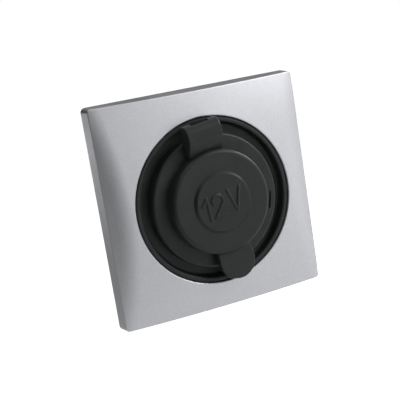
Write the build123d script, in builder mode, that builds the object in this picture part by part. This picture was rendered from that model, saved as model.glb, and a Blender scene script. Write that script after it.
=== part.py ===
# Car 12 V power socket: a flip-lid socket in a black dish inside a square silver trim frame.
# The panel plane is y = 0 and the front faces -Y. Heights are counted forward from the panel.
import os
from math import acos, asin, atan2, cos, degrees, hypot, radians, sin, sqrt, tan

from build123d import *

os.makedirs("parts", exist_ok=True)

# How near counts as equal, in millimetres, and as parallel, in degrees
nearly_equal = 0.01
parallel_angle = 25.0

# Trim frame sizes in millimetres
frame_side = 60.3
frame_edge_height = 4.78
frame_draft = 0.38
frame_corner_radius = 0.9
frame_front_round = 0.3
frame_skin = 2.0
facet_slope = 29.8
facet_share = 0.602
facet_bend_share = 0.9
hole_edge_round = 0.35
dome_reach_share = 1.5
wall_upper_share = 0.8
hook_width = 10.0
hook_arm_height = 3.6
hook_nose_top = 0.8
hook_nose_reach = 0.9
hook_foot_gap = 0.2

# Mounting base sizes
dish_gap = 2.92
collar_gap = 0.15
collar_wall = 1.4
collar_edge_round = 0.5
collar_below_skin = 0.3
dish_floor_height = 4.6
dish_floor_thickness = 1.6
dish_corner_round = 0.8
base_thickness = 2.0
base_edge_gap = 2.4
base_corner_radius = 4.0
base_lip_bottom = 1.0
base_notch_depth = 1.4
seat_ring_wall = 3.2
hook_gap = 0.25

# Contact shell and contacts, which set the size of everything round them
plug_bore_radius = 10.5
shell_wall = 0.5
shell_lip_width = 1.0
shell_mouth_round = 0.4
shell_neck_length = 4.0
shell_neck_step = 0.8
shell_neck_slope = 45.0
shell_floor_depth = 24.2
shell_floor_hole = 4.6
front_insulator_overlap = 0.8
front_insulator_thickness = 1.4
spigot_gap = 0.2
rear_insulator_overlap = 0.6
rear_insulator_thickness = 1.0
shank_radius = 1.5
shank_gap = 0.08
contact_radius = 4.0
contact_height = 2.0
contact_rim = 0.8
tail_radius = 2.6
tail_end_radius = 1.8
tail_height = 0.7
blade_width = 6.3
blade_thickness = 0.8
blade_reach = 8.6
blade_tip_chamfer = 1.2
blade_slot_gap = 0.4
positive_blade_offset = -4.2
positive_foot_end = 3.2
ground_rivet_inset = 2.3
ground_rivet_radius = 0.9
ground_rivet_head_radius = 1.4
ground_rivet_head_height = 0.5
negative_blade_step = 1.8
negative_foot_margin = 1.5

# Socket body sizes
insert_turn = 7.6
flange_margin = 4.19
flange_thickness = 3.9
flange_round = 0.7
barrel_wall = 2.4
barrel_gap = 0.9
barrel_chamfer = 0.6
thread_pitch = 2.0
thread_height = 0.4
thread_foot_width = 1.3
thread_crest_width = 0.5
thread_bite = 0.3
thread_start_gap = 1.2
thread_end_gap = 2.2
rear_wall = 1.8
rear_gap = 0.4
mouth_ledge = 1.0
mouth_depth = 3.0
mouth_chamfer = 0.35
body_bore_gap = 0.2
mark_length = 4.7
mark_width = 0.5
mark_depth = 0.6
mark_inset = 1.95
mark_angle = -19.6

# Ring nut sizes
panel_thickness = 6.0
nut_gap = 0.65
nut_wall = 3.15
nut_flange_reach = 1.8
nut_flange_thickness = 1.6
nut_height = 8.0
nut_ribs = 10
nut_rib_width = 2.4
nut_rib_height = 0.9

# Cap and seal sizes
cap_overlap = 1.96
cap_depth = 4.0
cap_lift = 0.1
cap_edge_round = 1.1
cap_roof = 1.6
cap_wall = 1.8
disc_margin = 6.22
disc_flare = 0.46
disc_step = 0.74
disc_edge_round = 0.25
tab_root_half_width = 4.9
tab_tip_radius = 5.25
tab_reach = 7.74
tab_root_drop = 1.3
tab_tip_rise = 1.1
tab_thickness = 1.7
tab_edge_round = 0.35
seal_gap = 0.5
seal_plug_depth = 1.6
seal_wall = 2.2
seal_taper = 0.25

# Hinge sizes
hinge_reach = 5.84
hinge_rise = 3.0
knuckle_radius = 2.5
hood_half_width = 5.0
hood_bite = 1.44
hood_web_length = 3.94
hood_foot_drop = 1.2
hood_bend_radius = 2.0
hood_end_round = 0.35
hood_skin = 0.8
pocket_half_width = 2.6
pocket_back_angle = 26.0
lug_radius = 1.4
lug_shoulder_angle = 45.0
lug_thickness = 1.2
lug_side_gap = 0.2
lug_foot_length = 2.0
lug_foot_inset = 0.95
lug_root = 0.6
pin_radius = 0.7
pin_running_gap = 0.05
pin_blind_wall = 0.9
pin_recess = 0.3
spring_wire_radius = 0.2
spring_coil_radius = 1.1
spring_turns = 3.75
spring_pitch = 0.48
spring_toe_gap = 0.1

# Radii, worked outwards from the plug's bore
shell_outer = plug_bore_radius + shell_wall
shell_lip_radius = shell_outer + shell_lip_width
shell_neck_radius = plug_bore_radius - shell_neck_step
shell_neck_outer = shell_neck_radius + shell_wall
front_insulator_radius = shell_floor_hole + front_insulator_overlap
rear_insulator_radius = shell_floor_hole + rear_insulator_overlap
shank_hole = shank_radius + shank_gap
ground_rivet_offset = shell_neck_radius - ground_rivet_inset
negative_blade_offset = ground_rivet_offset + negative_blade_step
negative_foot_start = ground_rivet_offset - negative_foot_margin
body_bore = shell_outer + body_bore_gap
mouth_radius = body_bore + mouth_ledge
barrel_radius = body_bore + barrel_wall
barrel_hole = barrel_radius + barrel_gap
seat_ring_outer = barrel_hole + seat_ring_wall
nut_hole = barrel_radius + nut_gap
nut_radius = nut_hole + nut_wall
nut_flange_radius = nut_radius + nut_flange_reach
seal_plug_radius = mouth_radius - seal_gap
cap_radius = mouth_radius + cap_overlap
cap_inner = cap_radius - cap_wall
disc_radius = cap_radius - disc_margin
disc_base_radius = disc_radius + disc_flare
flange_radius = cap_radius + flange_margin
mark_radius = flange_radius - mark_inset
collar_inner = flange_radius + dish_gap
collar_outer = collar_inner + collar_wall
hole_radius = collar_outer + collar_gap

# Depths behind the panel, worked back along the stack of contacts
shell_back = shell_floor_depth + shell_wall
shell_neck_depth = shell_floor_depth - shell_neck_length
shell_neck_end = shell_neck_depth + shell_neck_step * tan(radians(shell_neck_slope))
shell_neck_shift = shell_wall * tan(radians(shell_neck_slope / 2))
contact_seat = shell_floor_depth - front_insulator_thickness
rear_insulator_back = shell_back + rear_insulator_thickness
positive_foot_back = rear_insulator_back + blade_thickness
negative_foot_back = shell_back + blade_thickness
barrel_depth = positive_foot_back + tail_height + rear_gap + rear_wall
blade_end_depth = barrel_depth + blade_reach

# Heights in front of the panel, worked forward from the dish's floor
dish_back = dish_floor_height - dish_floor_thickness
flange_height = dish_floor_height + flange_thickness
shell_seat = flange_height - mouth_depth
shell_lip_top = shell_seat + shell_wall
seal_bottom = flange_height - seal_plug_depth
cap_bottom = flange_height + cap_lift
cap_height = flange_height + cap_depth
cap_ceiling = cap_height - cap_roof
disc_height = cap_height + disc_step
hinge_height = flange_height + hinge_rise
crown_height = hinge_height + knuckle_radius
hood_bottom = hinge_height - knuckle_radius
hood_foot_height = cap_height - hood_foot_drop
tab_root_height = cap_height - tab_root_drop

# Trim frame: the dome goes through the four corners and through the inner ends of the facets
half = frame_side / 2
half_back = half + frame_draft
draft_angle = degrees(atan2(frame_draft, frame_edge_height))
side_width = half - hole_radius
facet_width = facet_share * side_width
facet_angle = radians(facet_slope)
facet_rise = facet_width * tan(facet_angle)
crease_offset = half - facet_width
dome_depth = (2 * half**2 - crease_offset**2 - facet_rise**2) / (2 * facet_rise)
dome_radius = sqrt(dome_depth**2 + 2 * half**2)
frame_crown_height = frame_edge_height + dome_radius - dome_depth
bend_angle = facet_angle - asin(crease_offset / dome_radius)
bend_room = facet_bend_share * (side_width - facet_width - hole_edge_round)
facet_bend_radius = bend_room / tan(bend_angle / 2)
dome_reach = dome_reach_share * half
dome_reach_angle = asin(dome_reach / dome_radius)
dome_reach_drop = dome_radius * (1 - cos(dome_reach_angle))
dome_middle = dome_radius * sin(dome_reach_angle / 2)
dome_middle_drop = dome_radius * (1 - cos(dome_reach_angle / 2))
wall_upper_height = wall_upper_share * frame_edge_height
cavity_half = half - frame_skin
collar_height = frame_edge_height - dome_depth + sqrt(dome_radius**2 - collar_outer**2) - collar_below_skin
base_half = cavity_half - base_edge_gap
hook_inner = base_half + hook_gap
hook_nose_end = hook_inner - hook_nose_reach

# Hinge and tab: places along the line from the tab to the hinge
hinge_offset = cap_radius + hinge_reach
hood_start = cap_radius - hood_bite
hood_flat_end = cap_radius + hood_web_length
hood_angle = atan2(crown_height - hood_foot_height, hood_web_length)
bend_tangent = hood_bend_radius * tan(hood_angle / 2)
hood_start_height = hood_foot_height - hood_bite * tan(hood_angle)
pocket_radius = knuckle_radius - hood_skin
pocket_start = cap_radius + lug_side_gap
pocket_start_height = hood_foot_height + lug_side_gap * tan(hood_angle) - hood_skin / cos(hood_angle)
pocket_bend_height = crown_height - hood_skin / cos(hood_angle)
pocket_reach = 2 * knuckle_radius
lug_outer = pocket_half_width - lug_side_gap
lug_inner = lug_outer - lug_thickness
lug_shoulder = lug_radius * cos(radians(lug_shoulder_angle))
lug_foot_end = flange_radius - lug_foot_inset
lug_foot_start = lug_foot_end - lug_foot_length
pin_start = pin_blind_wall - hood_half_width
pin_end = hood_half_width - pin_recess
spring_half = spring_turns * spring_pitch / 2
spring_toe_end = cap_radius - cap_wall / 2
spring_heel_end = (dish_floor_height + flange_height) / 2
tab_tilt = atan2(tab_tip_rise, tab_reach)
tab_length = tab_reach / cos(tab_tilt)
tab_round_centre = tab_tip_radius - tab_length
tab_root = cap_wall / 2
tab_flare = hypot(tab_root_half_width, tab_root - tab_round_centre)
tab_side_angle = atan2(tab_root - tab_round_centre, tab_root_half_width) - acos(tab_tip_radius / tab_flare)
tab_shoulder = tab_tip_radius * cos(tab_side_angle)
tab_shoulder_up = tab_round_centre + tab_tip_radius * sin(tab_side_angle)
nearly_parallel = cos(radians(parallel_angle))

# Directions turned with the socket, and the planes that the sketches stand on
turn = radians(insert_turn)
across = Vector(cos(turn), 0, sin(turn))
upward = Vector(-sin(turn), 0, cos(turn))
forward = Vector(0, -1, 0)
hinge_centre = upward * hinge_offset + forward * hinge_height
section = Plane(origin=(0, 0, 0), x_dir=(1, 0, 0), z_dir=(0, 0, -1))
frame_profile = Plane(origin=(0, 0, 0), x_dir=(0, 0, 1), z_dir=(1, 0, 0))
tab_normal = forward * cos(tab_tilt) + upward * sin(tab_tilt)
tab_plane = Plane(origin=forward * tab_root_height - upward * cap_radius, x_dir=across, z_dir=tab_normal)


def frame_plan(height):
    """A plane parallel to the panel at a height, with x to the right and y up."""
    return Plane(origin=forward * height, x_dir=(1, 0, 0), z_dir=forward)


def insert_plan(height):
    """The plane parallel to the panel, turned with the socket."""
    return Plane(origin=forward * height, x_dir=across, z_dir=forward)


def insert_side(offset):
    """A plane square to the hinge axis, with x up the socket and y as the height."""
    return Plane(origin=across * offset, x_dir=upward, z_dir=across)


def dome_space(drop):
    """The space between the panel and the frame's dome lowered by a drop, out past the corners."""
    with BuildPart() as space:
        with BuildSketch(frame_profile):
            top = frame_crown_height - drop
            rim = (dome_reach, top - dome_reach_drop)
            with BuildLine():
                Polyline((0, top), (0, 0), (dome_reach, 0), rim)
                ThreePointArc(rim, (dome_middle, top - dome_middle_drop), (0, top))
            make_face()
        revolve(axis=Axis.Y)
    return space.part


def facet_space(drop):
    """The space over the two side facets lowered by a drop, which is cut from the dome."""
    low = frame_edge_height - drop - half * tan(facet_angle)
    high = frame_edge_height - drop + half * tan(facet_angle)
    with BuildPart() as space:
        with BuildSketch(section):
            with BuildLine():
                Polyline((0, high), (2 * half, low), (2 * half, high), close=True)
            make_face()
            mirror(about=Plane.YZ)
        extrude(amount=2 * half, both=True)
    return space.part


# Space inside the trim frame, cut from its back
with BuildPart() as frame_cavity:
    add(dome_space(frame_skin))
    add(facet_space(frame_skin), mode=Mode.SUBTRACT)
    with BuildSketch(frame_plan(0)):
        Rectangle(2 * cavity_half, 2 * cavity_half)
    extrude(amount=frame_crown_height, mode=Mode.INTERSECT)

# Trim frame: a shallow dome with a flat facet cut on the left and right and softly rounded into
# it, inside a rounded square with a little draft
with BuildPart() as trim_frame:
    add(dome_space(0))
    add(facet_space(0), mode=Mode.SUBTRACT)
    creases = trim_frame.edges().filter_by(
        lambda e: abs((e @ 0.5).Z) < nearly_equal and -(e @ 0.5).Y > frame_edge_height
    )
    fillet(creases, radius=facet_bend_radius)
    with BuildSketch(frame_plan(0)):
        RectangleRounded(2 * half_back, 2 * half_back, frame_corner_radius + frame_draft)
    extrude(amount=frame_crown_height, taper=draft_angle, mode=Mode.INTERSECT)
    front_edges = trim_frame.edges().filter_by(lambda e: -(e @ 0.5).Y > wall_upper_height)
    outline_edges = front_edges.filter_by(
        lambda e: max(abs((e @ 0.5).X), abs((e @ 0.5).Z)) > half - frame_corner_radius
    )
    fillet(outline_edges, radius=frame_front_round)
    add(frame_cavity.part, mode=Mode.SUBTRACT)
    with BuildSketch(frame_plan(0)):
        Circle(hole_radius)
    extrude(amount=frame_crown_height, mode=Mode.SUBTRACT)
    hole_edges = trim_frame.edges().filter_by(
        lambda e: abs(hypot((e @ 0.5).X, (e @ 0.5).Z) - hole_radius) < nearly_equal
    )
    fillet(hole_edges.sort_by(Axis.Y)[0], radius=hole_edge_round)
    for side in range(4):
        side_out = Vector(0, 0, 1).rotate(Axis.Y, 90 * side)
        side_along = side_out.rotate(Axis.Y, 90)
        with BuildSketch(Plane(origin=side_along * (-hook_width / 2), x_dir=side_out, z_dir=side_along)):
            with BuildLine():
                Polyline(
                    (cavity_half + frame_skin / 2, hook_foot_gap),
                    (hook_nose_end, hook_foot_gap),
                    (hook_nose_end, hook_nose_top),
                    (hook_inner, hook_nose_top),
                    (hook_inner, hook_arm_height),
                    (cavity_half + frame_skin / 2, hook_arm_height),
                    close=True,
                )
            make_face()
        extrude(amount=hook_width)

trim_frame.part.label = "trim_frame"
export_step(trim_frame.part, "parts/trim_frame.step")

# Mounting base: the dish with its collar and seat ring turned in one, and the plate round it
with BuildPart() as mounting_base:
    with BuildSketch(section) as dish:
        with BuildLine():
            Polyline(
                (barrel_hole, 0),
                (seat_ring_outer, 0),
                (seat_ring_outer, dish_back),
                (collar_inner, dish_back),
                (collar_inner, 0),
                (collar_outer, 0),
                (collar_outer, collar_height),
                (collar_inner, collar_height),
                (collar_inner, dish_floor_height),
                (barrel_hole, dish_floor_height),
                close=True,
            )
        make_face()
        wall_ends = dish.vertices().filter_by(lambda v: abs(v.X - collar_inner) < nearly_equal)
        fillet(wall_ends.sort_by(Axis.Y)[-2], radius=dish_corner_round)
        collar_corners = dish.vertices().filter_by(lambda v: abs(v.Y - collar_height) < nearly_equal)
        fillet(collar_corners, radius=collar_edge_round)
    revolve(axis=Axis.Y)
    with BuildSketch(frame_plan(0)):
        RectangleRounded(2 * base_half, 2 * base_half, base_corner_radius)
        Circle((collar_inner + collar_outer) / 2, mode=Mode.SUBTRACT)
    extrude(amount=base_thickness)
    with BuildSketch(frame_plan(0)):
        for side in range(4):
            with Locations(Rotation(0, 0, 90 * side) * Pos(0, base_half)):
                Rectangle(hook_width + 2 * hook_gap, 2 * base_notch_depth)
    extrude(amount=base_lip_bottom, mode=Mode.SUBTRACT)

mounting_base.part.label = "mounting_base"
export_step(mounting_base.part, "parts/mounting_base.step")

# Socket body: flange, barrel and rear wall turned in one, then the thread, lugs, blade slots and mark
with BuildPart() as socket_body:
    with BuildSketch(section):
        with BuildLine():
            Line(
                (mouth_radius + mouth_chamfer, flange_height),
                (flange_radius - flange_round, flange_height),
            )
            TangentArc(
                (flange_radius - flange_round, flange_height),
                (flange_radius, flange_height - flange_round),
                tangent=(1, 0),
            )
            Polyline(
                (flange_radius, flange_height - flange_round),
                (flange_radius, dish_floor_height),
                (barrel_radius, dish_floor_height),
                (barrel_radius, barrel_chamfer - barrel_depth),
                (barrel_radius - barrel_chamfer, -barrel_depth),
                (0, -barrel_depth),
                (0, rear_wall - barrel_depth),
                (body_bore, rear_wall - barrel_depth),
                (body_bore, shell_seat),
                (mouth_radius, shell_seat),
                (mouth_radius, flange_height - mouth_chamfer),
                (mouth_radius + mouth_chamfer, flange_height),
            )
        make_face()
    revolve(axis=Axis.Y)
    with BuildLine() as thread_path:
        Helix(
            pitch=thread_pitch,
            height=barrel_depth - thread_start_gap - thread_end_gap,
            radius=barrel_radius,
            center=forward * -thread_start_gap,
            direction=-forward,
        )
    thread_start = thread_path.line @ 0
    thread_out = Vector(thread_start.X, 0, thread_start.Z).normalized()
    with BuildSketch(Plane(origin=thread_start, x_dir=thread_out, z_dir=thread_path.line % 0)):
        with BuildLine():
            Polyline(
                (-thread_bite, -thread_foot_width / 2),
                (thread_height, -thread_crest_width / 2),
                (thread_height, thread_crest_width / 2),
                (-thread_bite, thread_foot_width / 2),
                close=True,
            )
        make_face()
    sweep(path=thread_path.line, is_frenet=True)
    for lug_start in (lug_inner, -lug_outer):
        with BuildSketch(insert_side(lug_start)):
            with BuildLine():
                Polyline(
                    (lug_foot_start, flange_height - lug_root),
                    (lug_foot_end, flange_height - lug_root),
                    (lug_foot_end, flange_height),
                    (hinge_offset + lug_shoulder, hinge_height - lug_shoulder),
                    (hinge_offset - lug_shoulder, hinge_height + lug_shoulder),
                    (lug_foot_start, flange_height),
                    close=True,
                )
            make_face()
            with Locations((hinge_offset, hinge_height)):
                Circle(lug_radius)
                Circle(pin_radius + pin_running_gap, mode=Mode.SUBTRACT)
        extrude(amount=lug_thickness)
    with BuildSketch(insert_plan(-barrel_depth)):
        for blade_offset in (positive_blade_offset, negative_blade_offset):
            with Locations((0, blade_offset)):
                Rectangle(blade_width + 2 * blade_slot_gap, blade_thickness + 2 * blade_slot_gap)
    extrude(amount=rear_wall, mode=Mode.SUBTRACT)
    with BuildSketch(insert_plan(flange_height)):
        with Locations(Rotation(0, 0, mark_angle) * Pos(mark_radius, 0)):
            Rectangle(mark_width, mark_length)
    extrude(amount=-mark_depth, mode=Mode.SUBTRACT)

socket_body.part.label = "socket_body"
export_step(socket_body.part, "parts/socket_body.step")

# Ring nut: a flanged ring with grip ribs behind the panel
with BuildPart() as ring_nut:
    with BuildSketch(frame_plan(-panel_thickness)):
        Circle(nut_flange_radius)
        Circle(nut_hole, mode=Mode.SUBTRACT)
    extrude(amount=-nut_flange_thickness)
    with BuildSketch(frame_plan(-panel_thickness)):
        Circle(nut_radius)
        with PolarLocations(nut_radius, nut_ribs):
            Rectangle(2 * nut_rib_height, nut_rib_width)
        Circle(nut_hole, mode=Mode.SUBTRACT)
    extrude(amount=-nut_height)

ring_nut.part.label = "ring_nut"
export_step(ring_nut.part, "parts/ring_nut.step")

# Contact shell: a drawn cup with a flat lip at its mouth and a neck round its contacts
with BuildPart() as contact_shell:
    with BuildSketch(section):
        with BuildLine():
            Polyline(
                (plug_bore_radius + shell_mouth_round, shell_lip_top),
                (shell_lip_radius, shell_lip_top),
                (shell_lip_radius, shell_seat),
                (shell_outer, shell_seat),
                (shell_outer, -shell_neck_depth - shell_neck_shift),
                (shell_neck_outer, -shell_neck_end - shell_neck_shift),
                (shell_neck_outer, -shell_back),
                (shell_floor_hole, -shell_back),
                (shell_floor_hole, -shell_floor_depth),
                (shell_neck_radius, -shell_floor_depth),
                (shell_neck_radius, -shell_neck_end),
                (plug_bore_radius, -shell_neck_depth),
                (plug_bore_radius, shell_lip_top - shell_mouth_round),
            )
            TangentArc(
                (plug_bore_radius, shell_lip_top - shell_mouth_round),
                (plug_bore_radius + shell_mouth_round, shell_lip_top),
                tangent=(0, 1),
            )
        make_face()
    revolve(axis=Axis.Y)
    with BuildSketch(insert_plan(-shell_back)):
        with Locations((0, ground_rivet_offset)):
            Circle(ground_rivet_radius)
    extrude(amount=shell_wall, mode=Mode.SUBTRACT)

contact_shell.part.label = "contact_shell"
export_step(contact_shell.part, "parts/contact_shell.step")

# Front insulator: a washer on the cup's floor with a spigot through it
with BuildPart() as front_insulator:
    with BuildSketch(section):
        with BuildLine():
            Polyline(
                (shank_hole, -contact_seat),
                (front_insulator_radius, -contact_seat),
                (front_insulator_radius, -shell_floor_depth),
                (shell_floor_hole - spigot_gap, -shell_floor_depth),
                (shell_floor_hole - spigot_gap, -shell_back),
                (shank_hole, -shell_back),
                close=True,
            )
        make_face()
    revolve(axis=Axis.Y)

front_insulator.part.label = "front_insulator"
export_step(front_insulator.part, "parts/front_insulator.step")

# Rear insulator: a plain washer between the cup and the positive blade
with BuildPart() as rear_insulator:
    with BuildSketch(frame_plan(-shell_back)):
        Circle(rear_insulator_radius)
        Circle(shank_hole, mode=Mode.SUBTRACT)
    extrude(amount=-rear_insulator_thickness)

rear_insulator.part.label = "rear_insulator"
export_step(rear_insulator.part, "parts/rear_insulator.step")

# Centre contact: a domed rivet head, a shank through the stack and an upset tail
with BuildPart() as centre_contact:
    with BuildSketch(section):
        with BuildLine():
            TangentArc(
                (0, contact_height - contact_seat),
                (contact_radius, contact_rim - contact_seat),
                tangent=(1, 0),
            )
            Polyline(
                (contact_radius, contact_rim - contact_seat),
                (contact_radius, -contact_seat),
                (shank_radius, -contact_seat),
                (shank_radius, -positive_foot_back),
                (tail_radius, -positive_foot_back),
                (tail_end_radius, -positive_foot_back - tail_height),
                (0, -positive_foot_back - tail_height),
                (0, contact_height - contact_seat),
            )
        make_face()
    revolve(axis=Axis.Y)

centre_contact.part.label = "centre_contact"
export_step(centre_contact.part, "parts/centre_contact.step")


def blade_corners(root_depth):
    """The corners of a blade in its own plane: straight sides from the root and a chamfered tip."""
    half_blade = blade_width / 2
    return [
        (-half_blade, -root_depth),
        (-half_blade, blade_tip_chamfer - blade_end_depth),
        (blade_tip_chamfer - half_blade, -blade_end_depth),
        (half_blade - blade_tip_chamfer, -blade_end_depth),
        (half_blade, blade_tip_chamfer - blade_end_depth),
        (half_blade, -root_depth),
    ]


def blade_plane(offset):
    """The plane at the back of a blade that stands at an offset up the socket."""
    return Plane(origin=upward * (offset + blade_thickness / 2), x_dir=across, z_dir=-upward)


# Positive terminal: a foot under the contact rivet's tail, bent back into a blade
with BuildPart() as positive_terminal:
    with BuildSketch(insert_plan(-rear_insulator_back)):
        foot_start = positive_blade_offset - blade_thickness / 2
        with Locations((0, (foot_start + positive_foot_end) / 2)):
            Rectangle(blade_width, positive_foot_end - foot_start)
        Circle(shank_hole, mode=Mode.SUBTRACT)
    extrude(amount=-blade_thickness)
    with BuildSketch(blade_plane(positive_blade_offset)):
        with BuildLine():
            Polyline(blade_corners(rear_insulator_back), close=True)
        make_face()
    extrude(amount=blade_thickness)

positive_terminal.part.label = "positive_terminal"
export_step(positive_terminal.part, "parts/positive_terminal.step")

# Negative terminal: a foot riveted to the cup's floor, bent back into a blade
with BuildPart() as negative_terminal:
    with BuildSketch(insert_plan(-shell_back)):
        foot_end = negative_blade_offset + blade_thickness / 2
        with Locations((0, (foot_end + negative_foot_start) / 2)):
            Rectangle(blade_width, foot_end - negative_foot_start)
        with Locations((0, ground_rivet_offset)):
            Circle(ground_rivet_radius, mode=Mode.SUBTRACT)
    extrude(amount=-blade_thickness)
    with BuildSketch(blade_plane(negative_blade_offset)):
        with BuildLine():
            Polyline(blade_corners(shell_back), close=True)
        make_face()
    extrude(amount=blade_thickness)

negative_terminal.part.label = "negative_terminal"
export_step(negative_terminal.part, "parts/negative_terminal.step")

# Ground rivet: a shank with a head on each side of the cup's floor and the blade's foot
with BuildPart() as ground_rivet:
    with BuildSketch(insert_plan(-negative_foot_back - ground_rivet_head_height)):
        with Locations((0, ground_rivet_offset)):
            Circle(ground_rivet_head_radius)
    extrude(amount=ground_rivet_head_height)
    with BuildSketch(insert_plan(-negative_foot_back)):
        with Locations((0, ground_rivet_offset)):
            Circle(ground_rivet_radius)
    extrude(amount=negative_foot_back - shell_floor_depth)
    with BuildSketch(insert_plan(-shell_floor_depth)):
        with Locations((0, ground_rivet_offset)):
            Circle(ground_rivet_head_radius)
    extrude(amount=ground_rivet_head_height)

ground_rivet.part.label = "ground_rivet"
export_step(ground_rivet.part, "parts/ground_rivet.step")

# Hood of the cap: a web that runs from the cap's wall into the hinge knuckle
with BuildPart() as hood:
    with BuildSketch(insert_side(-hood_half_width)):
        with BuildLine():
            ThreePointArc(
                (hinge_offset, hood_bottom),
                (hinge_offset + knuckle_radius, hinge_height),
                (hinge_offset, crown_height),
            )
            Line((hinge_offset, crown_height), (hood_flat_end + bend_tangent, crown_height))
            bend_foot = (
                hood_flat_end - bend_tangent * cos(hood_angle),
                crown_height - bend_tangent * sin(hood_angle),
            )
            TangentArc((hood_flat_end + bend_tangent, crown_height), bend_foot, tangent=(-1, 0))
            Polyline(
                bend_foot,
                (hood_start, hood_start_height),
                (hood_start, hood_bottom),
                (hinge_offset, hood_bottom),
            )
        make_face()
    extrude(amount=2 * hood_half_width)
    hood_ends = hood.faces().filter_by(lambda f: abs(f.normal_at().dot(across)) > nearly_parallel)
    fillet(hood_ends.edges(), radius=hood_end_round)

# Thumb tab of the cap: a flat tongue with a round end, tilted forward at its tip
with BuildPart() as tab:
    with BuildSketch(tab_plane):
        with BuildLine():
            ThreePointArc(
                (-tab_shoulder, tab_shoulder_up),
                (0, -tab_length),
                (tab_shoulder, tab_shoulder_up),
            )
            Polyline(
                (tab_shoulder, tab_shoulder_up),
                (tab_root_half_width, tab_root),
                (-tab_root_half_width, tab_root),
                (-tab_shoulder, tab_shoulder_up),
            )
        make_face()
    extrude(amount=-tab_thickness)
    tab_faces = tab.faces().filter_by(lambda f: abs(f.normal_at().dot(tab_normal)) > nearly_parallel)
    tab_rim = tab_faces.edges().filter_by(lambda e: e.center().dot(upward) < -cap_radius)
    fillet(tab_rim, radius=tab_edge_round)

# Cap: a turned shell with its centre disc, joined to the hood and the tab
with BuildPart() as cap:
    with BuildSketch(section):
        with BuildLine():
            Polyline(
                (0, cap_ceiling),
                (0, disc_height),
                (disc_radius - disc_edge_round, disc_height),
                (disc_radius, disc_height - disc_edge_round),
                (disc_base_radius, cap_height),
                (cap_radius - cap_edge_round, cap_height),
            )
            TangentArc(
                (cap_radius - cap_edge_round, cap_height),
                (cap_radius, cap_height - cap_edge_round),
                tangent=(1, 0),
            )
            Polyline(
                (cap_radius, cap_height - cap_edge_round),
                (cap_radius, cap_bottom),
                (cap_inner, cap_bottom),
                (cap_inner, cap_ceiling),
                (0, cap_ceiling),
            )
        make_face()
    revolve(axis=Axis.Y)
    add(hood.part)
    add(tab.part)
    with BuildSketch(insert_side(-pocket_half_width)):
        with BuildLine():
            Polyline(
                (hinge_offset, hinge_height),
                (
                    hinge_offset + pocket_reach * cos(radians(pocket_back_angle)),
                    hinge_height + pocket_reach * sin(radians(pocket_back_angle)),
                ),
                (hinge_offset + pocket_reach, hood_bottom - hood_skin),
                (pocket_start, hood_bottom - hood_skin),
                (pocket_start, pocket_start_height),
                (hood_flat_end, pocket_bend_height),
                (hinge_offset, crown_height - hood_skin),
                close=True,
            )
        make_face()
        with Locations((hinge_offset, hinge_height)):
            Circle(pocket_radius)
    extrude(amount=2 * pocket_half_width, mode=Mode.SUBTRACT)
    with BuildSketch(insert_side(pin_start)):
        with Locations((hinge_offset, hinge_height)):
            Circle(pin_radius)
    extrude(amount=hood_half_width - pin_start, mode=Mode.SUBTRACT)
    toe_start = across * -spring_half + forward * (hinge_height - spring_coil_radius)
    with BuildSketch(Plane(origin=toe_start + upward * pocket_start, x_dir=across, z_dir=-upward)):
        Circle(spring_wire_radius + spring_toe_gap)
    extrude(amount=pocket_start - spring_toe_end + spring_toe_gap, mode=Mode.SUBTRACT)

cap.part.label = "cap"
export_step(cap.part, "parts/cap.step")

# Cap seal: a rubber ring in the cap whose lower half plugs the mouth
with BuildPart() as cap_seal:
    with BuildSketch(section):
        with BuildLine():
            Polyline(
                (cap_inner - seal_wall, cap_ceiling),
                (cap_inner, cap_ceiling),
                (cap_inner, cap_bottom),
                (seal_plug_radius, cap_bottom),
                (seal_plug_radius - seal_taper, seal_bottom),
                (cap_inner - seal_wall, seal_bottom),
                close=True,
            )
        make_face()
    revolve(axis=Axis.Y)

cap_seal.part.label = "cap_seal"
export_step(cap_seal.part, "parts/cap_seal.step")

# Hinge pin: pressed into the knuckles and running in the lugs
with BuildPart() as hinge_pin:
    with BuildSketch(insert_side(pin_start)):
        with Locations((hinge_offset, hinge_height)):
            Circle(pin_radius)
    extrude(amount=pin_end - pin_start)

hinge_pin.part.label = "hinge_pin"
export_step(hinge_pin.part, "parts/hinge_pin.step")

# Hinge spring: a coil round the pin, a heel behind the flange and a toe in the cap's wall
with BuildPart() as hinge_spring:
    with BuildLine() as coil:
        Helix(
            pitch=spring_pitch,
            height=2 * spring_half,
            radius=spring_coil_radius,
            center=hinge_centre + across * spring_half,
            direction=-across,
        )
    with BuildSketch(Plane(origin=coil.line @ 0, z_dir=coil.line % 0)):
        Circle(spring_wire_radius)
    sweep()
    with BuildSketch(Plane(origin=coil.line @ 0, x_dir=across, z_dir=-forward)):
        Circle(spring_wire_radius)
    extrude(amount=hinge_height - spring_heel_end)
    with BuildSketch(Plane(origin=coil.line @ 1, x_dir=across, z_dir=-upward)):
        Circle(spring_wire_radius)
    extrude(amount=hinge_offset - spring_toe_end)

hinge_spring.part.label = "hinge_spring"
export_step(hinge_spring.part, "parts/hinge_spring.step")
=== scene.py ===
# %% [markdown]
# A car 12 V power socket with a flip lid, in a black dish inside a square silver trim frame.
# The solid model is loaded as a fixed frame, and this lesson dresses it: a camera that stands
# where the photographer stood, a plain studio, a finish for each material, and the few forms
# that are too fine for the solid model. Lengths are worked in millimetres and scaled once.

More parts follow.
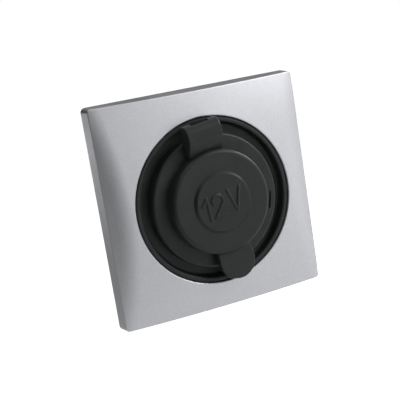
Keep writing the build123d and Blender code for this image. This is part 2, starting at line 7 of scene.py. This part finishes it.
import bmesh
import bpy
import numpy as np
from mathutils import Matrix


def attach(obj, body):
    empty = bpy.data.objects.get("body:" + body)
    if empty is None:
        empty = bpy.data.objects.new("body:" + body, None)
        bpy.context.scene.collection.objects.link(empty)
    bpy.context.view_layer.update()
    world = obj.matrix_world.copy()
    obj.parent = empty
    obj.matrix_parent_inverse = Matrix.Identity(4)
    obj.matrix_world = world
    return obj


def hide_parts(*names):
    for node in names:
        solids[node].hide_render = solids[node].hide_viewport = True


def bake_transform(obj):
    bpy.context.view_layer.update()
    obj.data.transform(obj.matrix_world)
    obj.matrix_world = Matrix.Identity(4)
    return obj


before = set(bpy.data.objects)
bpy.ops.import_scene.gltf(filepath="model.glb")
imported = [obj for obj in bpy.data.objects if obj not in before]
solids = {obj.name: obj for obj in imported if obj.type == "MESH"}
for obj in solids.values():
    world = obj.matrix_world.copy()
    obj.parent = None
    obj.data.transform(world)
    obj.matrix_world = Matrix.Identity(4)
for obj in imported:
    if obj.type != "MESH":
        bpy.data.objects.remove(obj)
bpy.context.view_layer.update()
scene = bpy.context.scene
scene.view_settings.view_transform = "Standard"
mm = 0.001

# %% [markdown]
# The camera. The four corners of the square frame and the round rims fix where a photograph was
# taken from. Matching them by eye is slow, so the pose was fitted to the corners and edges of a
# square of about 60 mm and to the rims, and the numbers below are that pose. A lens of about 85 mm
# gives the same mild perspective, and no shift is needed because the socket stands near the middle.

# %% Camera at the photograph's viewpoint
camera_data = bpy.data.cameras.new("photo_camera")
camera_data.sensor_width = 36.0
camera_data.lens = 84.56
camera = bpy.data.objects.new("photo_camera", camera_data)
camera.location = np.array((-100.54, -236.30, 48.81)) * mm
camera.rotation_euler = np.radians((78.953, 9.032, -24.564))
scene.collection.objects.link(camera)
scene.camera = camera
print("camera stands", round(camera.location.length / mm), "mm from the socket's middle")

# %% [markdown]
# The studio. The photograph has a white background and no shadow. A pale floor well below the
# part gives the same picture, because any shadow on it stays faint. Each node of a shader tree is
# made the same way, so one small helper makes a node, fills in its settings and links its inputs,
# and the others build on it.


# %% Helpers for shader nodes
def add_node(tree, kind, inputs=None, **settings):
    """Makes a node of a kind, sets its properties, and gives each named input a value or a link."""
    node = tree.nodes.new(kind)
    for name, value in settings.items():
        setattr(node, name, value)
    for name, value in (inputs or {}).items():
        if isinstance(value, bpy.types.NodeSocket):
            tree.links.new(value, node.inputs[name])
        else:
            node.inputs[name].default_value = value
    return node


def math_node(tree, operation, first, second):
    """A Math node on two values or sockets, which returns its output."""
    return add_node(tree, "ShaderNodeMath", {0: first, 1: second}, operation=operation).outputs[0]


def length_along(tree, vector, way):
    """The length of a vector along a way: their dot product."""
    product = add_node(tree, "ShaderNodeVectorMath", {0: vector, 1: way}, operation="DOT_PRODUCT")
    return product.outputs["Value"]


def soft_range(tree, value, start, end, low, high):
    """A value that goes from low at the start to high at the end, with a smooth step between."""
    limits = {"Value": value, "From Min": start, "From Max": end, "To Min": low, "To Max": high}
    return add_node(tree, "ShaderNodeMapRange", limits, interpolation_type="SMOOTHSTEP").outputs["Result"]


def background_rays(tree):
    """The mask of rays that look at the studio: from the camera, a gloss or a glass."""
    path = add_node(tree, "ShaderNodeLightPath")
    seen = math_node(tree, "MAXIMUM", path.outputs["Is Camera Ray"], path.outputs["Is Glossy Ray"])
    return math_node(tree, "MAXIMUM", seen, path.outputs["Is Transmission Ray"])


print("shader helpers are ready")

# %% [markdown]
# The room. The camera sees plain white, but a satin surface shows what stands round it. In the
# photograph the frame's front is bright, and its left facet and its top wall are dark. So the
# room that gloss rays meet is dim, with a bright front right and a bright ceiling. All other rays
# get a weak even light, so that the lamps shape the part.

# %% World: white to the camera, and a room for the gloss
room_level = 0.03
wall_level = 1.0
ceiling_level = 1.0
ambient_level = 0.04
white = (1.0, 1.0, 1.0, 1.0)
front_right = (0.7, -0.7, 0.0)
backward = (0.0, 1.0, 0.0)
overhead = (0.0, 0.0, 1.0)
world = bpy.data.worlds.new("studio")
world.use_nodes = True
scene.world = world
sky = world.node_tree
sky.nodes.clear()
direction = add_node(sky, "ShaderNodeTexCoord").outputs["Generated"]
to_wall = length_along(sky, direction, front_right)
wall = soft_range(sky, to_wall, start=0.42, end=0.82, low=room_level, high=wall_level)
to_ceiling = length_along(sky, direction, overhead)
ceiling = soft_range(sky, to_ceiling, start=0.5, end=0.85, low=room_level, high=ceiling_level)
backdrop = math_node(sky, "MAXIMUM", wall, ceiling)
camera_sees = add_node(sky, "ShaderNodeLightPath").outputs["Is Camera Ray"]
seen_level = math_node(sky, "MAXIMUM", backdrop, camera_sees)
seen_light = add_node(sky, "ShaderNodeBackground", {"Color": white, "Strength": seen_level})
even_light = add_node(sky, "ShaderNodeBackground", {"Color": white, "Strength": ambient_level})
both_lights = {0: background_rays(sky), 1: even_light.outputs[0], 2: seen_light.outputs[0]}
mixed_light = add_node(sky, "ShaderNodeMixShader", both_lights)
add_node(sky, "ShaderNodeOutputWorld", {"Surface": mixed_light.outputs[0]})
print("world lights the shade at", ambient_level, "and the gloss from", room_level, "to", wall_level)

# %% [markdown]
# The floor. It's a plain pale sheet with a glow that lifts it to white for the camera. The glow is
# weaker near the part, which leaves a little of its shadow. Gloss rays meet the glow in three
# places: a pool round the part, the front right, where the room is bright too, and far behind,
# which the frame's left side wall mirrors.

# %% Floor: pale, with a glow for the rays that look at it
floor_height = -120.0
floor_reach = 4000.0
floor_tone = (0.86, 0.86, 0.86, 1.0)
near_glow = 0.78
far_glow = 1.0
pool_glow = 0.62
corner = floor_reach * mm
floor_points = np.array([(-corner, -corner), (corner, -corner), (corner, corner), (-corner, corner)])
floor_mesh = bpy.data.meshes.new("floor")
floor_mesh.from_pydata(np.c_[floor_points, np.full(4, floor_height * mm)].tolist(), [], [(0, 1, 2, 3)])
floor = bpy.data.objects.new("floor", floor_mesh)
scene.collection.objects.link(floor)
floor_finish = bpy.data.materials.new("floor_finish")
floor_finish.use_nodes = True
floor_tree = floor_finish.node_tree
floor_shader = floor_tree.nodes["Principled BSDF"]
floor_shader.inputs["Base Color"].default_value = floor_tone
floor_shader.inputs["Roughness"].default_value = 0.9
floor_shader.inputs["Emission Color"].default_value = white
floor_mesh.materials.append(floor_finish)
print("floor lies", -floor_height, "mm below the socket's middle")

# %% Glow of the floor: its lengths are in metres from the socket's middle
floor_place = add_node(floor_tree, "ShaderNodeTexCoord").outputs["Object"]
length_node = add_node(floor_tree, "ShaderNodeVectorMath", {0: floor_place}, operation="LENGTH")
distance = length_node.outputs["Value"]
glow_level = soft_range(floor_tree, distance, start=0.1, end=0.45, low=near_glow, high=far_glow)
shown = add_node(floor_tree, "ShaderNodeLightPath").outputs["Is Camera Ray"]
for way, near_end, far_end in ((front_right, 0.26, 0.51), (backward, 0.42, 0.85)):
    reach_along = length_along(floor_tree, floor_place, way)
    sweep = soft_range(floor_tree, reach_along, start=near_end, end=far_end, low=0.0, high=1.0)
    shown = math_node(floor_tree, "MAXIMUM", shown, sweep)
pool = soft_range(floor_tree, distance, start=0.2, end=0.4, low=pool_glow, high=room_level)
shown = math_node(floor_tree, "MAXIMUM", shown, pool)
glow = math_node(floor_tree, "MULTIPLY", background_rays(floor_tree), shown)
glow = math_node(floor_tree, "MULTIPLY", glow, glow_level)
floor_tree.links.new(glow, floor_shader.inputs["Emission Strength"])
print("floor glows from", near_glow, "near the part to", far_glow, "far away")

# %% [markdown]
# The lamps. A soft box to the front right and above lights the front. A second one to the right
# stands almost in the plane of the frame, so it passes most of the front by and lights the edges
# that face it. A weak fill from the upper left softens the shade.


# %% Lamps: three soft boxes
def soft_box(name, place, size, watts):
    """A square area lamp at a place in millimetres, aimed at the socket's middle."""
    data = bpy.data.lights.new(name, "AREA")
    data.size = size * mm
    data.energy = watts
    lamp = bpy.data.objects.new(name, data)
    lamp.location = np.array(place) * mm
    lamp.rotation_euler = lamp.location.to_track_quat("Z", "Y").to_euler()
    scene.collection.objects.link(lamp)
    return lamp


key_lamp = soft_box("key_lamp", place=(414.0, -400.0, 332.0), size=260.0, watts=1.47)
rim_lamp = soft_box("rim_lamp", place=(520.0, 40.0, 260.0), size=220.0, watts=1.4)
fill_lamp = soft_box("fill_lamp", place=(-230.0, -400.0, 420.0), size=300.0, watts=0.22)
for lamp in (key_lamp, rim_lamp, fill_lamp):
    print("lamp", lamp.name, "of", round(lamp.data.energy, 2), "watts")

# %% [markdown]
# Finishes. Several materials share the same small effects: the fine grain of a moulded or painted
# surface, and the streaks that drawing or rolling leaves in metal. Each effect is a node group
# with named inputs, built once. A group only puts out masks, so the shader stays in the material.


# %% Shared effects as node groups
def new_group(name, inputs, outputs):
    """An empty shader group with typed inputs and float outputs, with its two end nodes."""
    group = bpy.data.node_groups.new(name, "ShaderNodeTree")
    for label, kind in inputs.items():
        group.interface.new_socket(name=label, in_out="INPUT", socket_type=kind)
    for label in outputs:
        group.interface.new_socket(name=label, in_out="OUTPUT", socket_type="NodeSocketFloat")
    return group, group.nodes.new("NodeGroupInput"), group.nodes.new("NodeGroupOutput")


grain_inputs = {"Vector": "NodeSocketVector", "Grain": "NodeSocketFloat", "Cloud": "NodeSocketFloat"}
grain_group, grain_in, grain_out = new_group("surface_grain", grain_inputs, ("Grain", "Cloud"))
for label, detail in (("Grain", 3.0), ("Cloud", 2.0)):
    vector = grain_in.outputs["Vector"]
    noise_inputs = {"Vector": vector, "Scale": grain_in.outputs[label], "Detail": detail}
    noise = add_node(grain_group, "ShaderNodeTexNoise", noise_inputs)
    grain_group.links.new(noise.outputs["Fac"], grain_out.inputs[label])

streak_inputs = {"Vector": "NodeSocketVector", "Stretch": "NodeSocketVector"}
streak_group, streak_in, streak_out = new_group("metal_streaks", streak_inputs, ("Streak",))
stretched = add_node(
    streak_group,
    "ShaderNodeVectorMath",
    {0: streak_in.outputs["Vector"], 1: streak_in.outputs["Stretch"]},
    operation="MULTIPLY",
).outputs[0]
noise_inputs = {"Vector": stretched, "Scale": 1.0, "Detail": 4.0}
streak_noise = add_node(streak_group, "ShaderNodeTexNoise", noise_inputs)
streak_group.links.new(streak_noise.outputs["Fac"], streak_out.inputs["Streak"])
print("groups", grain_group.name, "and", streak_group.name)


# %% Helpers that put an effect into a material
def new_finish(name):
    """A material with its tree, its shader and the part's own coordinates."""
    finish = bpy.data.materials.new(name)
    finish.use_nodes = True
    tree = finish.node_tree
    place = add_node(tree, "ShaderNodeTexCoord").outputs["Object"]
    return finish, tree, tree.nodes["Principled BSDF"], place


mask_low = 0.3
mask_high = 0.7


def spread(tree, mask, low, high):
    """A mask carried in a straight line from its usual range to the range from low to high."""
    limits = {"Value": mask, "From Min": mask_low, "From Max": mask_high, "To Min": low, "To Max": high}
    return add_node(tree, "ShaderNodeMapRange", limits).outputs["Result"]


def two_tones(tree, mask, dark, light):
    """A colour that a mask carries from a dark tone to a light one."""
    ramp = add_node(tree, "ShaderNodeValToRGB", {"Fac": mask})
    ramp.color_ramp.elements[0].position = mask_low
    ramp.color_ramp.elements[0].color = (*dark, 1.0)
    ramp.color_ramp.elements[1].position = mask_high
    ramp.color_ramp.elements[1].color = (*light, 1.0)
    return ramp.outputs["Color"]


def emboss(tree, shader, mask, depth, strength):
    """Feeds a mask to the shader's normal as a bump of a depth in millimetres."""
    bump_inputs = {"Height": mask, "Distance": depth * mm, "Strength": strength}
    bump = add_node(tree, "ShaderNodeBump", bump_inputs)
    tree.links.new(bump.outputs["Normal"], shader.inputs["Normal"])


def grain_masks(tree, place, grain_size, cloud_size):
    """The grain group with its two sizes in millimetres, which returns the fine and the broad mask."""
    node = add_node(tree, "ShaderNodeGroup", node_tree=grain_group)
    tree.links.new(place, node.inputs["Vector"])
    node.inputs["Grain"].default_value = 1.0 / (grain_size * mm)
    node.inputs["Cloud"].default_value = 1.0 / (cloud_size * mm)
    return node.outputs["Grain"], node.outputs["Cloud"]


def streak_mask(tree, place, sizes):
    """The streak group with the streaks' size along each axis in millimetres."""
    node = add_node(tree, "ShaderNodeGroup", node_tree=streak_group)
    tree.links.new(place, node.inputs["Vector"])
    node.inputs["Stretch"].default_value = 1.0 / (np.array(sizes) * mm)
    return node.outputs["Streak"]


print("finish helpers are ready")

# %% Silver paint: satin, with flakes that differ a little in tone
silver_finish, tree, shader, place = new_finish("silver_finish")
grain, cloud = grain_masks(tree, place, grain_size=0.16, cloud_size=14.0)
flake_size = 0.11
flakes = add_node(tree, "ShaderNodeTexVoronoi", {"Vector": place, "Scale": 1.0 / (flake_size * mm)})
flake_tone = add_node(tree, "ShaderNodeSeparateColor", {"Color": flakes.outputs["Color"]}).outputs[0]
colour = two_tones(tree, flake_tone, dark=(0.525, 0.532, 0.556), light=(0.605, 0.612, 0.638))
tree.links.new(colour, shader.inputs["Base Color"])
tree.links.new(spread(tree, cloud, low=0.385, high=0.445), shader.inputs["Roughness"])
shader.inputs["Metallic"].default_value = 0.84
emboss(tree, shader, grain, depth=0.01, strength=0.25)
print("made", silver_finish.name)

# %% Black plastic: satin from a finely eroded mould
black_finish, tree, shader, place = new_finish("black_finish")
grain, cloud = grain_masks(tree, place, grain_size=0.14, cloud_size=7.0)
colour = two_tones(tree, cloud, dark=(0.036, 0.0414, 0.0402), light=(0.0445, 0.0512, 0.0497))
tree.links.new(colour, shader.inputs["Base Color"])
tree.links.new(spread(tree, grain, low=0.34, high=0.44), shader.inputs["Roughness"])
shader.inputs["Specular IOR Level"].default_value = 0.22
emboss(tree, shader, grain, depth=0.012, strength=0.35)
print("made", black_finish.name)

# %% Rubber of the seal: dull, with a soft bloom
rubber_finish, tree, shader, place = new_finish("rubber_finish")
grain, cloud = grain_masks(tree, place, grain_size=0.2, cloud_size=3.0)
colour = two_tones(tree, cloud, dark=(0.014, 0.014, 0.014), light=(0.024, 0.024, 0.025))
tree.links.new(colour, shader.inputs["Base Color"])
tree.links.new(spread(tree, grain, low=0.68, high=0.8), shader.inputs["Roughness"])
emboss(tree, shader, grain, depth=0.02, strength=0.3)
print("made", rubber_finish.name)

# %% Insulating board: brown pressed fibre
board_finish, tree, shader, place = new_finish("board_finish")
grain, cloud = grain_masks(tree, place, grain_size=0.3, cloud_size=1.6)
colour = two_tones(tree, cloud, dark=(0.20, 0.125, 0.075), light=(0.32, 0.21, 0.135))
tree.links.new(colour, shader.inputs["Base Color"])
tree.links.new(spread(tree, grain, low=0.55, high=0.7), shader.inputs["Roughness"])
emboss(tree, shader, grain, depth=0.02, strength=0.4)
print("made", board_finish.name)


# %% Metals: nickel, brass and steel, with streaks along the way each was drawn
def metal_finish(name, dark, light, streak_sizes, rough_low, rough_high):
    """A bare metal whose tone, roughness and bump all follow its streaks."""
    finish, tree, shader, place = new_finish(name)
    streak = streak_mask(tree, place, streak_sizes)
    tree.links.new(two_tones(tree, streak, dark, light), shader.inputs["Base Color"])
    tree.links.new(spread(tree, streak, rough_low, rough_high), shader.inputs["Roughness"])
    shader.inputs["Metallic"].default_value = 1.0
    emboss(tree, shader, streak, depth=0.0015, strength=0.12)
    print("made", name)
    return finish


nickel_finish = metal_finish(
    "nickel_finish",
    dark=(0.68, 0.66, 0.62),
    light=(0.76, 0.74, 0.70),
    streak_sizes=(0.25, 6.0, 0.25),
    rough_low=0.2,
    rough_high=0.34,
)
brass_finish = metal_finish(
    "brass_finish",
    dark=(0.60, 0.43, 0.17),
    light=(0.78, 0.60, 0.29),
    streak_sizes=(1.4, 0.12, 1.4),
    rough_low=0.26,
    rough_high=0.4,
)
steel_finish = metal_finish(
    "steel_finish",
    dark=(0.48, 0.48, 0.49),
    light=(0.62, 0.62, 0.63),
    streak_sizes=(0.9, 0.1, 0.1),
    rough_low=0.25,
    rough_high=0.38,
)

# %% [markdown]
# The solid pieces keep their shapes and take a finish by the material that each is made of. Their
# meshes aren't touched: only the material in each slot changes.

# %% Dress the solid pieces
slot_finishes = {
    "silver_plastic": silver_finish,
    "black_plastic": black_finish,
    "nickel": nickel_finish,
    "insulator": board_finish,
    "brass": brass_finish,
    "seal_rubber": rubber_finish,
    "steel": steel_finish,
}
node_slots = {
    "trim_frame": "silver_plastic",
    "mounting_base": "black_plastic",
    "socket_body": "black_plastic",
    "ring_nut": "black_plastic",
    "contact_shell": "nickel",
    "front_insulator": "insulator",
    "rear_insulator": "insulator",
    "centre_contact": "brass",
    "positive_terminal": "brass",
    "negative_terminal": "brass",
    "ground_rivet": "brass",
    "cap": "black_plastic",
    "cap_seal": "seal_rubber",
    "hinge_pin": "steel",
    "hinge_spring": "steel",
}
for name, slot_name in node_slots.items():
    for slot in solids[name].material_slots:
        slot.material = slot_finishes[slot_name]
print("dressed", len(node_slots), "of", len(solids), "solid pieces")

# %% [markdown]
# The lid's lettering. Raised letters in a moulding are low ridges with a round top. A text object
# would give flat tops and a font of its own, and a tube along each stroke would cross itself where
# strokes meet. Here each letter is a set of strokes, and the height over the lid's disc falls with
# the distance to the nearest stroke, so strokes run into each other as they do in a mould.

# %% Axes of the lid, which stands a little turned in the frame
lid_turn = np.radians(7.6)
across = np.array((np.cos(lid_turn), 0.0, np.sin(lid_turn)))
upward = np.array((-np.sin(lid_turn), 0.0, np.cos(lid_turn)))
forward = np.array((0.0, -1.0, 0.0))


def lid_points(sideways, up, height):
    """Points in metres from millimetres along the lid's own axes: the sum of axis times length."""
    lengths = np.stack(np.broadcast_arrays(sideways, up, height), axis=-1)
    return lengths @ np.stack((across, upward, forward)) * mm


merge_distance = 1e-4


def new_piece(name, points, faces, slot_name):
    """A smooth mesh from points and faces, with equal points merged, in the finish of its slot."""
    mesh = bpy.data.meshes.new(name)
    mesh.from_pydata(points.reshape(-1, 3).tolist(), [], faces.tolist())
    merged = bmesh.new()
    merged.from_mesh(mesh)
    bmesh.ops.remove_doubles(merged, verts=merged.verts, dist=merge_distance * mm)
    merged.to_mesh(mesh)
    merged.free()
    mesh.polygons.foreach_set("use_smooth", np.ones(len(mesh.polygons), dtype=bool))
    mesh.materials.append(slot_finishes[slot_name])
    piece = bpy.data.objects.new(name, mesh)
    scene.collection.objects.link(piece)
    return piece


print("lid stands turned by", round(np.degrees(lid_turn), 1), "degrees")


# %% Letters: strokes in millimetres from the disc's middle, and the distance to the nearest one
def bow(middle, radius, first, last):
    """Points round an arc: the middle plus the radius at angles from first to last degrees."""
    turn = np.radians(np.linspace(first, last, 24))
    return np.array(middle) + radius * np.stack((np.cos(turn), np.sin(turn)), axis=-1)


one_strokes = np.array(((-6.2, 0.84), (-4.66, 2.53), (-4.86, -3.45)))
two_foot = np.array(((-3.35, -3.17), (-0.22, -3.09)))
two_bow = bow(middle=(-1.66, 1.0), radius=1.57, first=200.0, last=-36.0)
two_strokes = np.concatenate((two_bow, two_foot))
vee_strokes = np.array(((1.74, 2.84), (3.23, -3.3), (5.35, 2.67)))


def stroke_distance(places, strokes):
    """The distance from each place to a broken line: to the nearest point of its nearest run."""
    start = strokes[:-1]
    run = strokes[1:] - start
    offset = places[..., None, :] - start
    share = np.clip((offset * run).sum(-1) / (run * run).sum(-1), 0.0, 1.0)
    return np.linalg.norm(offset - share[..., None] * run, axis=-1).min(-1)


disc_top = 13.24
ridge_height = 0.3
ridge_half_width = 0.5
ridge_foot = 1.32
backing_depth = 0.15
letter_step = 0.07
grid_sideways = np.arange(-7.0, 6.2, letter_step)
grid_up = np.arange(-4.3, 3.7, letter_step)
sideways, up = np.meshgrid(grid_sideways, grid_up, indexing="ij")
places = np.stack((sideways, up), axis=-1)
nearest = np.min([stroke_distance(places, s) for s in (one_strokes, two_strokes, vee_strokes)], axis=0)
reach = nearest / ridge_half_width
letter_points = lid_points(sideways, up, disc_top + ridge_height * (1.0 - reach**2))
print("letter ridges stand", ridge_height, "mm above the disc")

# %% Letters: keep the cells near a stroke, and let Solidify close them underneath
rows, columns = reach.shape
numbers = np.arange(rows * columns).reshape(rows, columns)
cells = np.stack((numbers[:-1, :-1], numbers[1:, :-1], numbers[1:, 1:], numbers[:-1, 1:]), axis=-1)
near = (reach < ridge_foot)[:-1, :-1] & (reach < ridge_foot)[1:, 1:]
kept_points, kept_cells = np.unique(cells[near], return_inverse=True)
cap_letters = new_piece(
    "cap_letters",
    letter_points.reshape(-1, 3)[kept_points],
    kept_cells.reshape(-1, 4),
    "black_plastic",
)
backing = cap_letters.modifiers.new("backing", "SOLIDIFY")
backing.thickness = backing_depth * mm
backing.offset = -1.0
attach(cap_letters, "lid")
print("letters have", len(cap_letters.data.polygons), "cells")

# %% [markdown]
# The thread of the barrel. The ring nut that clamps the socket runs on a coarse moulded thread.
# The solid model has it with sharp edges and blunt ends. This skin lies closely over it: one
# profile with rounded corners, carried along the same helix. Past each end of the solid thread
# the profile shrinks into the barrel's wall, as the run-out of a moulded thread does.


# %% Thread: one profile carried along a helix
def new_tube(name, rings, slot_name):
    """A tube through rings of points: faces join neighbouring rings, and each end closes on its mean."""
    ends = np.repeat(rings[[0, -1]].mean(axis=1, keepdims=True), rings.shape[1], axis=1)
    rings = np.concatenate((ends[:1], rings, ends[1:]))
    numbers = np.arange(rings.shape[0] * rings.shape[1]).reshape(rings.shape[:2])
    after = np.roll(numbers, -1, axis=1)
    faces = np.stack((numbers[:-1], after[:-1], after[1:], numbers[1:]), axis=-1)
    return new_piece(name, rings, faces.reshape(-1, 4), slot_name)


thread_pitch = 2.0
thread_start = 1.2
thread_turns = 13.0
run_out = 0.35
profile_along = np.array((0.8, 0.66, 0.38, 0.22, -0.22, -0.38, -0.66, -0.8))
profile_radius = np.array((13.5, 13.66, 13.96, 14.04, 14.04, 13.96, 13.66, 13.5))
hidden_radius = 13.4
steps_per_turn = 72
thread_steps = int(thread_turns * steps_per_turn) + 1
turn = np.linspace(-run_out, thread_turns + run_out, thread_steps)
fullness = np.clip((np.minimum(turn, thread_turns - turn) + run_out) / run_out, 0.0, 1.0)
swell = (fullness * fullness * (3.0 - 2.0 * fullness))[:, None]
thread_radius = hidden_radius + (profile_radius - hidden_radius) * swell
thread_depth = thread_start + thread_pitch * turn[:, None] + profile_along * swell
angle = np.pi / 2.0 - 2.0 * np.pi * turn[:, None]
thread_side = thread_radius * np.cos(angle)
thread_up = thread_radius * np.sin(angle)
thread_points = np.stack((thread_side, thread_depth, thread_up), axis=-1) * mm
barrel_thread = new_tube("barrel_thread", thread_points, "black_plastic")
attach(barrel_thread, "body")
print("thread has", thread_turns, "turns")

# %% [markdown]
# The lid's spring. A round wire is wound round the hinge pin. Its heel reaches down beside the
# rim of the socket's flange and its toe sits in the lid, and between them the turns wind up as the
# lid opens. A circle carried along the wire's path gives the form.

# %% Spring: a circle carried along the heel, the coil and the toe
hinge_up = 20.0
hinge_height = 11.5
coil_radius = 1.1
coil_turns = 3.75
coil_half = 0.9
wire_radius = 0.2
heel_height = 6.55
toe_up = 13.26
coil_steps = 136
end_steps = 8
wire_sides = 12
coil_turn = np.linspace(0.0, 1.0, coil_steps)
coil_angle = np.pi - 2.0 * np.pi * coil_turns * coil_turn
heel_share = np.linspace(0.0, 1.0, end_steps)[:-1]
toe_share = np.linspace(0.0, 1.0, end_steps)[1:]
heel_rise = heel_height + (hinge_height - heel_height) * heel_share
heel = lid_points(coil_half, hinge_up - coil_radius, heel_rise)
coil = lid_points(
    coil_half * (1.0 - 2.0 * coil_turn),
    hinge_up + coil_radius * np.cos(coil_angle),
    hinge_height + coil_radius * np.sin(coil_angle),
)
toe = lid_points(-coil_half, hinge_up + (toe_up - hinge_up) * toe_share, hinge_height - coil_radius)
wire_path = np.concatenate((heel, coil, toe))
along = np.gradient(wire_path, axis=0)
along /= np.linalg.norm(along, axis=1, keepdims=True)
side_axis = across - (along @ across)[:, None] * along
side_axis /= np.linalg.norm(side_axis, axis=1, keepdims=True)
top_axis = np.cross(along, side_axis)
wire_turn = np.linspace(0.0, 2.0 * np.pi, wire_sides, endpoint=False)
wire_side = np.cos(wire_turn)[:, None] * side_axis[:, None]
wire_top = np.sin(wire_turn)[:, None] * top_axis[:, None]
wire_points = wire_path[:, None] + wire_radius * mm * (wire_side + wire_top)
spring_wire = new_tube("spring_wire", wire_points, "steel")
hinge_middle = lid_points(0.0, hinge_up, hinge_height)
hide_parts("hinge_spring")
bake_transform(spring_wire)
wire_length = np.linalg.norm(np.diff(wire_path, axis=0), axis=1).sum()
print("spring wire is", round(wire_length / mm, 1), "mm long")
